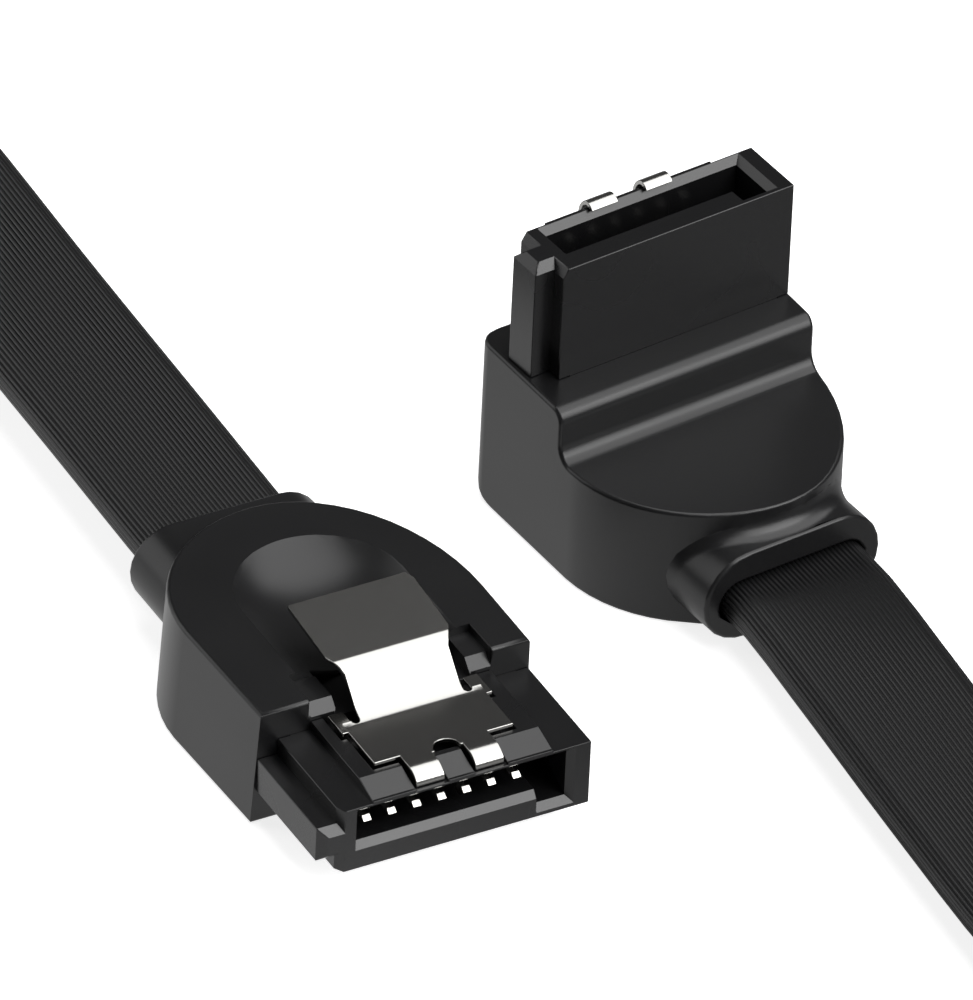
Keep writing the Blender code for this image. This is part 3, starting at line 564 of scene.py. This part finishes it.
@dataclass
class RibbonCable:
    """The flat jacket, extruded with fine ribs along its length."""

    width: float = 0.0078
    thickness: float = 0.0020
    rib_pitch: float = 0.000236
    rib_depth: float = 0.00007
    steps_per_rib: int = 6
    step: float = 0.0026
    parts_per_knot: int = 24
    exit: tuple[float, float, float] = (-0.0009, 0.0088, 0.00295)
    knots: tuple[tuple[float, float, float, float], ...] = (
        (-0.00090, 0.00310, 0.00295, 0.0),
        (-0.00090, 0.00980, 0.00295, 0.0),
        (-0.00070, 0.0180, 0.00290, 0.0),
        (-0.00037, 0.0300, 0.00275, 0.0),
        (0.00018, 0.0420, 0.00265, 4.0),
        (0.0010, 0.0520, 0.00330, 40.0),
        (0.0022, 0.0620, 0.00400, 80.0),
        (0.0065, 0.0755, 0.00400, 90.0),
        (0.0160, 0.0880, 0.00400, 90.0),
        (0.0310, 0.0930, 0.00400, 90.0),
        (0.0465, 0.0880, 0.00400, 90.0),
        (0.0565, 0.0750, 0.00400, 90.0),
        (0.0605, 0.0560, 0.00400, 90.0),
        (0.0620, 0.0300, 0.00400, 90.0),
        (0.0625, 0.0000, 0.00400, 90.0),
        (0.0620, -0.0300, 0.00400, 90.0),
        (0.0600, -0.0530, 0.00400, 90.0),
        (0.0550, -0.0700, 0.00400, 90.0),
        (0.0440, -0.0805, 0.00400, 90.0),
        (0.0310, -0.0795, 0.00400, 90.0),
        (0.0230, -0.0690, 0.00400, 88.0),
        (0.0203, -0.0560, 0.00385, 66.0),
        (0.0201, -0.0440, 0.00310, 26.0),
        (0.0205, -0.0330, 0.00225, 2.0),
        (0.0210, -0.0220, 0.00220, 0.0),
        (0.0215, -0.0120, 0.00240, 0.0),
        (0.0218572, -0.0049218, 0.00230, 0.0),
        (0.0210895, 0.0016133, 0.00230, 0.0),
    )

    def smooth_route(self) -> list[Vector]:
        """Points at an even step on a smooth curve through the knots.

        Returns:
            Points as (x, y, z, tilt in degrees).
        """
        knots = [Vector(knot) for knot in self.knots]
        dense = []
        for index in range(len(knots) - 1):
            before = knots[max(index - 1, 0)]
            here = knots[index]
            after = knots[index + 1]
            beyond = knots[min(index + 2, len(knots) - 1)]
            for part in range(self.parts_per_knot):
                t = part / self.parts_per_knot
                dense.append(
                    0.5 * (2.0 * here + (after - before) * t
                           + (2.0 * before - 5.0 * here + 4.0 * after - beyond) * t * t
                           + (3.0 * here - before - 3.0 * after + beyond) * t * t * t)
                )
        dense.append(knots[-1])
        lengths = [0.0]
        for first, second in zip(dense, dense[1:]):
            lengths.append(lengths[-1] + (second.xyz - first.xyz).length)
        count = round(lengths[-1] / self.step)
        even = []
        cursor = 0
        for index in range(count + 1):
            target = lengths[-1] * index / count
            while cursor < len(lengths) - 2 and lengths[cursor + 1] < target:
                cursor += 1
            span = lengths[cursor + 1] - lengths[cursor]
            even.append(dense[cursor].lerp(dense[cursor + 1], (target - lengths[cursor]) / span))
        return even

    def section(self) -> list[Vector]:
        """The ribbed stadium in the plane across the ribbon.

        Returns:
            Points round the section as (across, up).
        """
        radius = self.thickness / 2.0
        reach = self.width / 2.0 - radius
        perimeter = 4.0 * reach + 2.0 * math.pi * radius
        ribs = round(perimeter / self.rib_pitch)
        count = ribs * self.steps_per_rib
        outline = []
        for index in range(count):
            travel = perimeter * index / count
            wave = 0.5 + 0.5 * math.cos(2.0 * math.pi * ribs * travel / perimeter)
            depth = self.rib_depth * (1.0 - math.sqrt(wave))
            outline.append(self.section_point(travel, reach, radius, radius - depth))
        return outline

    @staticmethod
    def section_point(travel: float, reach: float, radius: float, level: float) -> Vector:
        """A point of the section at a distance round its outline.

        Args:
            travel: Distance along the outline from the top's middle.
            reach: Half the length of the flat sides.
            radius: Half the thickness.
            level: The point's distance from the section's spine.

        Returns:
            The point as (across, up).
        """
        if travel < reach:
            return Vector((travel, level))
        travel -= reach
        bend = math.pi * radius
        if travel < bend:
            angle = math.pi / 2.0 - travel / radius
            return Vector((reach + level * math.cos(angle), level * math.sin(angle)))
        travel -= bend
        if travel < 2.0 * reach:
            return Vector((reach - travel, -level))
        travel -= 2.0 * reach
        if travel < bend:
            angle = -math.pi / 2.0 - travel / radius
            return Vector((-reach + level * math.cos(angle), level * math.sin(angle)))
        return Vector((-reach + travel - bend, level))

    def build(self, material: bpy.types.Material) -> bpy.types.Object:
        """Sweep the ribbed section along the route.

        Args:
            material: The jacket's finish.

        Returns:
            The ribbon.
        """
        route = self.smooth_route()
        outline = self.section()
        shape = bmesh.new()
        rings = []
        for index, point in enumerate(route):
            before = route[max(index - 1, 0)].xyz
            after = route[min(index + 1, len(route) - 1)].xyz
            along = (after - before).normalized()
            across = along.cross(Vector((0.0, 0.0, 1.0))).normalized()
            turn = Matrix.Rotation(math.radians(point.w), 3, along)
            side = turn @ across
            up = turn @ across.cross(along)
            rings.append([shape.verts.new(point.xyz + side * p.x + up * p.y) for p in outline])
        for first, second in zip(rings, rings[1:]):
            for index in range(len(outline)):
                after = (index + 1) % len(outline)
                shape.faces.new((first[index], first[after], second[after], second[index]))
        shape.faces.new(rings[0])
        shape.faces.new(rings[-1][::-1])
        bmesh.ops.recalc_face_normals(shape, faces=shape.faces)
        ribbon = finished_object("ribbed_jacket", shape, material)
        ribbon.data.shade_smooth()
        ribbon.data.set_sharp_from_angle(angle=math.radians(ROUNDING_TURN_DEG))
        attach(ribbon, Body.CABLE.value)
        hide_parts("cable_jacket")
        return ribbon


# Studio

@dataclass(frozen=True)
class SoftLight:
    """A flat, even light panel that faces the object."""

    name: str
    toward: tuple[float, float, float]
    distance: float
    size: tuple[float, float]
    radiance: float

    def build(self) -> bpy.types.Object:
        """Hang the panel with its width along the connectors' width.

        Returns:
            The light.
        """
        ahead = Vector(self.toward).normalized()
        side = Vector((0.0, 1.0, 0.0)).cross(ahead).normalized()
        data = bpy.data.lights.new(self.name, "AREA")
        data.shape = "RECTANGLE"
        data.size, data.size_y = self.size
        data.energy = self.radiance * math.pi * data.size * data.size_y
        light = bpy.data.objects.new(self.name, data)
        turn = Matrix((side, ahead.cross(side), ahead)).transposed().to_4x4()
        place = ahead * self.distance + Vector(OBJECT_MIDDLE)
        light.matrix_world = Matrix.Translation(place) @ turn
        light.visible_camera = False
        bpy.context.scene.collection.objects.link(light)
        return light


# Overhead and to the right, where the sloping faces and the latch's band mirror it
OVERHEAD = SoftLight("overhead_softbox", (0.35, -0.12, 0.93), 0.8, (1.00, 1.00), 2.2)
# In front, where steep roundings and chamfers mirror it brightest
FRONT = SoftLight("front_softbox", (0.42, -0.73, 0.54), 0.8, (0.60, 0.50), 4.0)
# Low behind the left side, where the left-hand chamfers and the ribs' flanks mirror it
BACK_LEFT = SoftLight("back_left_card", (-0.60, 0.70, 0.40), 0.8, (0.60, 0.60), 1.15)


@dataclass
class Studio:
    """A white floor, soft lights and a long lens at the photo's angle."""

    azimuth_deg: float = -29.58
    elevation_deg: float = 36.56
    roll_deg: float = 2.82
    distance: float = 1.5
    lens_mm: float = 1198.26
    aim_right: float = 0.00098
    aim_up: float = 0.01522
    aim_offset: tuple[float, float, float] = (0.0, -0.0132, 0.00103)
    lights: tuple[SoftLight, ...] = (OVERHEAD, FRONT, BACK_LEFT)
    floor_size: float = 6.0
    floor_glow: float = 0.8
    floor_gloss: tuple[float, float] = (0.30, 0.75)
    floor_fade: tuple[float, float] = (-0.022, -0.007)
    floor_bright_side: tuple[float, float, float] = (-0.64, 0.77, 0.0)
    surround: float = 0.065

    def axes(self) -> tuple[Vector, Vector, Vector]:
        """The picture's axes.

        Returns:
            Its right and up directions and the way back to the camera.
        """
        azimuth, elevation, roll = (
            math.radians(angle) for angle in (self.azimuth_deg, self.elevation_deg, self.roll_deg)
        )
        back = Vector((
            math.sin(azimuth) * math.cos(elevation),
            -math.cos(azimuth) * math.cos(elevation),
            math.sin(elevation),
        ))
        level = Vector((math.cos(azimuth), math.sin(azimuth), 0.0))
        steep = back.cross(level)
        right = math.cos(roll) * level + math.sin(roll) * steep
        up = -math.sin(roll) * level + math.cos(roll) * steep
        return right, up, back

    def build_camera(self) -> None:
        """Put the camera where the photo was taken from."""
        right, up, back = self.axes()
        aim = right * self.aim_right + up * self.aim_up + Vector(self.aim_offset)
        data = bpy.data.cameras.new("product_camera")
        data.lens = self.lens_mm
        data.sensor_width = 36.0
        camera = bpy.data.objects.new("product_camera", data)
        turn = Matrix((right, up, back)).transposed().to_4x4()
        camera.matrix_world = Matrix.Translation(aim + back * self.distance) @ turn
        bpy.context.scene.collection.objects.link(camera)
        bpy.context.scene.camera = camera

    def build_floor(self) -> None:
        """Lay a white floor that keeps the shadow and is mirrored brightest at its back left."""
        material = bpy.data.materials.new("white_paper_sweep")
        material.use_nodes = True
        tree = material.node_tree
        tree.nodes.clear()
        rays = add_node(tree, "ShaderNodeLightPath")
        paper = add_node(tree, "ShaderNodeBsdfDiffuse", inputs={"Color": linear("#f2f2f2")})
        glow = add_node(
            tree, "ShaderNodeEmission", inputs={"Color": WHITE, "Strength": self.floor_glow},
        )
        seen = add_node(tree, "ShaderNodeAddShader", inputs={0: paper.outputs[0], 1: glow.outputs[0]})
        place = add_node(tree, "ShaderNodeTexCoord")
        toward_back_left = add_node(
            tree,
            "ShaderNodeVectorMath",
            {"operation": "DOT_PRODUCT"},
            {0: place.outputs["Object"], 1: self.floor_bright_side},
        )
        fade = add_node(
            tree,
            "ShaderNodeMapRange",
            inputs={
                "Value": toward_back_left.outputs["Value"],
                "From Min": self.floor_fade[0],
                "From Max": self.floor_fade[1],
                "To Min": self.floor_gloss[0],
                "To Max": self.floor_gloss[1],
            },
        )
        mirrored = add_node(
            tree,
            "ShaderNodeEmission",
            inputs={"Color": WHITE, "Strength": fade.outputs["Result"]},
        )
        by_gloss = add_node(
            tree,
            "ShaderNodeMixShader",
            inputs={0: rays.outputs["Is Glossy Ray"], 1: paper.outputs[0], 2: mirrored.outputs[0]},
        )
        by_camera = add_node(
            tree,
            "ShaderNodeMixShader",
            inputs={0: rays.outputs["Is Camera Ray"], 1: by_gloss.outputs[0], 2: seen.outputs[0]},
        )
        add_node(tree, "ShaderNodeOutputMaterial", inputs={"Surface": by_camera.outputs[0]})
        shape = bmesh.new()
        bmesh.ops.create_grid(shape, x_segments=1, y_segments=1, size=self.floor_size / 2.0)
        floor = finished_object("white_floor", shape, material)
        floor.location.z = -FLOOR_GAP

    def build_world(self) -> None:
        """White where the camera looks, dim round the object."""
        world = bpy.data.worlds.new("studio")
        world.use_nodes = True
        tree = world.node_tree
        tree.nodes.clear()
        rays = add_node(tree, "ShaderNodeLightPath")
        dim, white = (
            add_node(tree, "ShaderNodeBackground", inputs={"Color": WHITE, "Strength": strength})
            for strength in (self.surround, 1.0)
        )
        mix = add_node(
            tree,
            "ShaderNodeMixShader",
            inputs={0: rays.outputs["Is Camera Ray"], 1: dim.outputs[0], 2: white.outputs[0]},
        )
        add_node(tree, "ShaderNodeOutputWorld", inputs={"Surface": mix.outputs[0]})
        bpy.context.scene.world = world

    def build(self) -> None:
        """Set up the camera, lights, floor and surround."""
        self.build_camera()
        for light in self.lights:
            light.build()
        self.build_floor()
        self.build_world()
        bpy.context.scene.view_settings.view_transform = "Standard"
        log.info("studio: camera, %d lights, floor and surround", len(self.lights))


def main() -> None:
    """Build the studio, the ribbon and both connectors."""
    Studio().build()
    finishes = {
        "black_insulator": INSULATOR.build(),
        "black_overmould": OVERMOULD.build(),
        "natural_inner_mould": INNER_MOULD.build(),
        "plated_contact": PLATED_COPPER.build(),
        "tinned_conductor": TINNED_COPPER.build(),
        "stainless_latch": SPRING_STEEL.build(),
        "black_jacket": JACKET.build(),
    }
    RibbonCable().build(finishes["black_jacket"])
    Connector("straight", Body.STRAIGHT_LATCH).build(finishes)
    Connector("angle", Body.ANGLE_LATCH).build(finishes)


if __name__ == "__main__":
    main()
